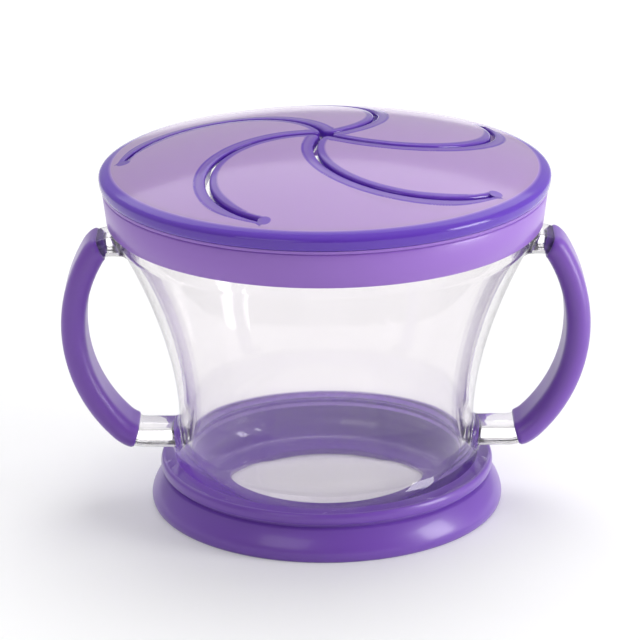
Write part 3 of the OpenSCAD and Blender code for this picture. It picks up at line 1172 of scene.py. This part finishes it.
    def beside(self, centre: Vector, start: float, off: float, count: int) -> list[Vector]:
        """A row of points beside a slit, closer to it near its end.

        Args:
            centre: the centre of the slit's arc.
            start: the angle of the slit's start, in degrees.
            off: distance from the slit's edge, negative towards the centre of its arc.
            count: the number of steps.

        Returns:
            The points.
        """
        points = []
        for i in range(count + 1):
            share = i / count
            left = math.radians(2 * self.slit_turn * (1 - share)) * self.slit_r
            away = math.copysign(self.slit_w / 2, off) + off * self.taper(left)
            angle = math.radians(start + 2 * self.slit_turn * share)
            points.append(centre + (self.slit_r + away) * Vector((math.cos(angle), math.sin(angle))))
        return points

    def clear_inside(self, p: Vector, loop: list[Vector]) -> bool:
        """Whether a point lies well inside a loop.

        Args:
            p: the point.
            loop: the loop's corners.

        Returns:
            True if it lies inside and far enough from the loop.
        """
        inside = False
        for a, b in zip(loop, loop[1:] + loop[:1]):
            if (a.y > p.y) != (b.y > p.y) and p.x < a.x + (p.y - a.y) * (b.x - a.x) / (b.y - a.y):
                inside = not inside
            d = b - a
            t = min(1.0, max(0.0, (p - a).dot(d) / max(d.length_squared, 1e-12)))
            if (a + t * d - p).length < self.clear_of:
                return False
        return inside

    def ring_profile(self) -> list[Point2]:
        """The rigid ring's closed profile.

        Returns:
            Radius and height of each corner.
        """
        low = self.collar_r - self.collar_taper
        foot = [(self.collar_in + 0.3, self.collar_low), (low - 0.4, self.collar_low)]
        foot.append((low, self.collar_low + 0.4))
        seam = [
            (self.collar_r, self.seam_z - 0.35), (self.collar_r - 0.1, self.seam_z - 0.15),
            (self.collar_r - 0.35, self.seam_z), (self.collar_r, self.seam_z + 0.15),
            (self.collar_r + 0.15, self.seam_z + 0.4), (self.collar_r + 0.1, self.skirt_z - 0.12),
            (self.collar_r - 0.1, self.skirt_z - 0.02), (self.skirt_in - 0.02, self.skirt_z - 0.02),
            (self.skirt_in - 0.02, self.ring_top - 0.02),
        ]
        t = self.tongue_r + self.tongue
        top = self.ring_top - 0.02
        tongue = [(t - 0.02, top), (t - 0.02, top + self.tongue), (self.tongue_r + 0.02, top + self.tongue)]
        plate = [(self.tongue_r + 0.02, top), (self.plate_r, top), (self.plate_r, self.plate_z)]
        inside = [
            (self.collar_in, self.plate_z), (self.collar_in, self.catch_z + 0.5),
            (self.collar_in - 0.3, self.catch_z), (self.collar_in, self.catch_z - 0.5),
            (self.collar_in, self.collar_low + 0.3),
        ]
        return foot + seam + tongue + plate + inside

    def rim_profile(self) -> list[Point2]:
        """The soft rim's closed profile, from the dome's edge over the shoulder and under.

        Returns:
            Radius and height of each corner.
        """
        shoulder = (self.shoulder_r, self.shoulder_z)
        slope = -self.shoulder_r / math.sqrt(self.dome_r**2 - self.shoulder_r**2)
        curve = bezier_points(
            shoulder, (self.shoulder_r + 1.45, self.shoulder_z + 1.45 * slope),
            (self.band_r, self.band_z + 0.95), (self.band_r, self.band_z), 16,
        )
        under = [(self.band_r - 0.1, self.ring_top + 0.3), (self.band_r - 0.3, self.skirt_z + 0.25)]
        under += [(self.band_r - 0.5, self.skirt_z + 0.04), (self.skirt_in, self.skirt_z)]
        under.append((self.skirt_in, self.ring_top))
        t = self.tongue_r + self.tongue
        low, high = self.ring_top, self.ring_top + self.tongue
        channel = [(t, low), (t, high + 0.02), (self.tongue_r, high + 0.02), (self.tongue_r, low)]
        ledge_r = self.plate_r + 0.05
        edge = self.dome(Vector((ledge_r, 0))) - self.skin - 0.05
        ledge = [(ledge_r, low), (ledge_r, edge), (self.shoulder_r, self.shoulder_z - self.skin - 0.05)]
        return curve + under + channel + ledge

    def build(self, ring: Material, band: Material, top: Material) -> None:
        """Makes the ring, the soft rim and the five leaves.

        Args:
            ring: the ring's material.
            band: the soft rim's material.
            top: the leaves' material.
        """
        piece = new_piece("lid_ring_body", lathe(self.ring_profile(), self.ring_steps))
        dress(piece, ring, Slot.RING, "lid_ring")
        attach(piece, Body.LID.value)
        rim = lathe(self.rim_profile(), self.rim_steps, self.slit_at)
        # The shoulder and band take the deep colour: the soft plastic is thicker there, and it also paints
        # the shade on that band
        thick_and_shade = rim.verts.layers.float.new("thick_and_shade")
        for vert in rim.verts:
            vert[thick_and_shade] = smooth(self.shoulder_r - 0.4, self.shoulder_r + 0.8, vert.co.xy.length)
        piece = new_piece("soft_rim", rim)
        dress(piece, band, Slot.TOP, "lid_membrane")
        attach(piece, Body.LID.value)
        for i in range(self.flaps):
            name = f"flap_{i + 1}"
            turn = self.slit_at - self.slit_turn + 360 / self.flaps * i
            spin = Matrix.Rotation(math.radians(turn), 4, "Z")
            leaf = self.leaf()
            bmesh.ops.transform(leaf, matrix=spin, verts=leaf.verts)
            piece = new_piece(f"soft_leaf_{i + 1}", leaf)
            dress(piece, top, Slot.TOP, name)
            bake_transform(piece)


@dataclass
class Studio:
    """The floor, the lights and the camera."""

    lens: float = 188.89  # focal length in mm, for a picture 36 mm wide
    camera_at: Point3 = (0.0, -0.695562, 0.289909)  # the camera's place in metres
    pitch: float = 0.34324  # how far it looks down, in radians
    yaw: float = -0.00183  # how far it looks to the right, in radians
    roll: float = -0.00732  # how far it leans, in radians
    sun: float = 1.1  # strength of the broad light from above
    sun_deg: float = 38.0  # how broad it is, in degrees
    sun_at: Point3 = (0.14, 0.26, 0.94)  # the direction it comes from
    aim_at: Point3 = (0.0, 0.0, 0.04)  # the point that lamps face
    room: Span = (0.25, 0.62)  # brightness of the room before and behind the object
    room_at: Span = (-0.9, 0.3)  # where one turns into the other, as a share of the way back
    sides: Span = (0.2, -0.42)  # what the room's middle and its sides add to that through clear plastic
    sides_at: Span = (0.22, 0.46)  # where one turns into the other, as a share of the way aside
    mirrored: float = -0.13  # what reflections add to it
    floor_size: float = 6.0  # the floor's width in metres
    floor_grey: float = 0.76  # brightness of the floor's own colour
    floor_glow: Span = (0.2, 0.4)  # how much white the floor adds near the object and far from it
    glow_at: Span = (0.12, 0.7)  # where one turns into the other, in metres

    def camera(self) -> None:
        """Places the camera at the photograph's angle."""
        p, w, r = self.pitch, self.yaw, self.roll
        ahead = Vector((math.sin(w) * math.cos(p), math.cos(w) * math.cos(p), -math.sin(p)))
        right = Vector((math.cos(w), -math.sin(w), 0))
        up = right.cross(ahead)
        right, up = right * math.cos(r) + up * math.sin(r), up * math.cos(r) - right * math.sin(r)
        data = bpy.data.cameras.new("camera")
        data.lens, data.sensor_width = self.lens, 36.0
        data.clip_end = 20
        camera = put_in_scene("camera", data)
        turn = Matrix((right, up, -ahead)).transposed().to_4x4()
        camera.matrix_world = Matrix.Translation(self.camera_at) @ turn
        bpy.context.scene.camera = camera

    def soft_box(self, name: str, at: Point3, size: Point2, watts: float) -> None:
        """Adds a soft box that faces the object.

        Args:
            name: its name.
            at: its place in metres.
            size: its width and height in metres.
            watts: its power.
        """
        data = bpy.data.lights.new(name, "AREA")
        data.shape, data.size, data.size_y, data.energy = "RECTANGLE", size[0], size[1], watts
        self.aim(name, data, at)

    def aim(self, name: str, data: Light, at: Point3) -> None:
        """Puts a lamp in its place and turns it to the object.

        Args:
            name: its name.
            data: the lamp.
            at: its place in metres.
        """
        lamp = put_in_scene(name, data)
        lamp.location = at
        lamp.rotation_euler = (Vector(self.aim_at) - Vector(at)).to_track_quat("-Z", "Y").to_euler()
        lamp.visible_glossy = data.type == "AREA"

    def ceiling(self) -> None:
        """A broad even light from above, a little from behind and from the right."""
        data = bpy.data.lights.new("ceiling", "SUN")
        data.energy, data.angle = self.sun, math.radians(self.sun_deg)
        self.aim("ceiling", data, self.sun_at)

    def world(self) -> None:
        """A white room: dimmer in front, in reflections and at the sides of what clear plastic shows."""
        world = bpy.data.worlds.new("room")
        bpy.context.scene.world = world
        world.use_nodes = True
        tree = world.node_tree
        parts = add_node(tree, "SeparateXYZ", {"Vector": add_node(tree, "TexCoord").outputs["Generated"]})
        behind = remap(tree, parts.outputs["Y"], self.room, self.room_at, "SMOOTHSTEP")
        level = maths(tree, "ABSOLUTE", parts.outputs["X"])
        aside = remap(tree, level, self.sides, self.sides_at, "SMOOTHSTEP")
        clear, glossy = ray_kind(tree, "Is Transmission Ray"), ray_kind(tree, "Is Glossy Ray")
        through = maths(tree, "MULTIPLY_ADD", clear, aside, behind, clamp=True)
        lit = maths(tree, "MULTIPLY_ADD", glossy, self.mirrored, through, clamp=True)
        strength = add_node(tree, "Mix", {"Factor": ray_kind(tree, "Is Camera Ray"), "A": lit, "B": 1.0})
        light = {"Color": (1, 1, 1, 1), "Strength": strength.outputs["Result"]}
        feed(tree, tree.nodes["Background"], light)

    def floor(self) -> None:
        """A pale floor."""
        mesh = bpy.data.meshes.new("floor")
        far = self.floor_size / 2
        corners = [(-far, -far, 0), (far, -far, 0), (far, far, 0), (-far, far, 0)]
        mesh.from_pydata(corners, [], [(0, 1, 2, 3)])
        piece = put_in_scene("floor", mesh)
        grey = (self.floor_grey, self.floor_grey, self.floor_grey, 1)
        looks = {"Base Color": grey, "Roughness": 0.7, "Emission Strength": 1.0}
        made = start_material("pale_floor", looks)
        tree = made.node_tree
        place = add_node(tree, "TexCoord").outputs["Object"]
        off = add_node(tree, "VectorMath", {0: place}, operation="LENGTH").outputs["Value"]
        seen = ray_kind(tree, "Is Camera Ray", "Is Glossy Ray", "Is Transmission Ray")
        glow = remap(tree, off, self.floor_glow, self.glow_at)
        shade(tree, {"Emission Color": maths(tree, "MULTIPLY", glow, seen)})
        mesh.materials.append(made)

    def build(self) -> None:
        """Sets up the whole studio."""
        self.camera()
        self.world()
        self.floor()
        self.ceiling()
        self.soft_box("right_strip", (0.75, -0.2, 0.24), (0.3, 0.5), 4.0)
        self.soft_box("back_box", (0.0, 0.94, 1.01), (1.5, 0.72), 3.4)
        self.soft_box("front_fill", (-0.5, -0.9, 0.6), (0.6, 0.6), 1.7)
        bpy.context.scene.view_settings.view_transform = "Standard"


def write_sizes() -> None:
    """Updates the view layer."""
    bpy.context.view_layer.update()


def main() -> None:
    """Builds the studio and the object, piece by piece."""
    logging.basicConfig(level=logging.INFO, format="%(name)s: %(message)s")
    Studio().build()
    ClearBody().build(ClearPlastic().material(), GRIP_FINISH.material())
    SoftBase().build(BASE_FINISH.material())
    Lid().build(RING_FINISH.material(), BAND_FINISH.material(), TOP_FINISH.material())
    write_sizes()


if __name__ == "__main__":
    main()
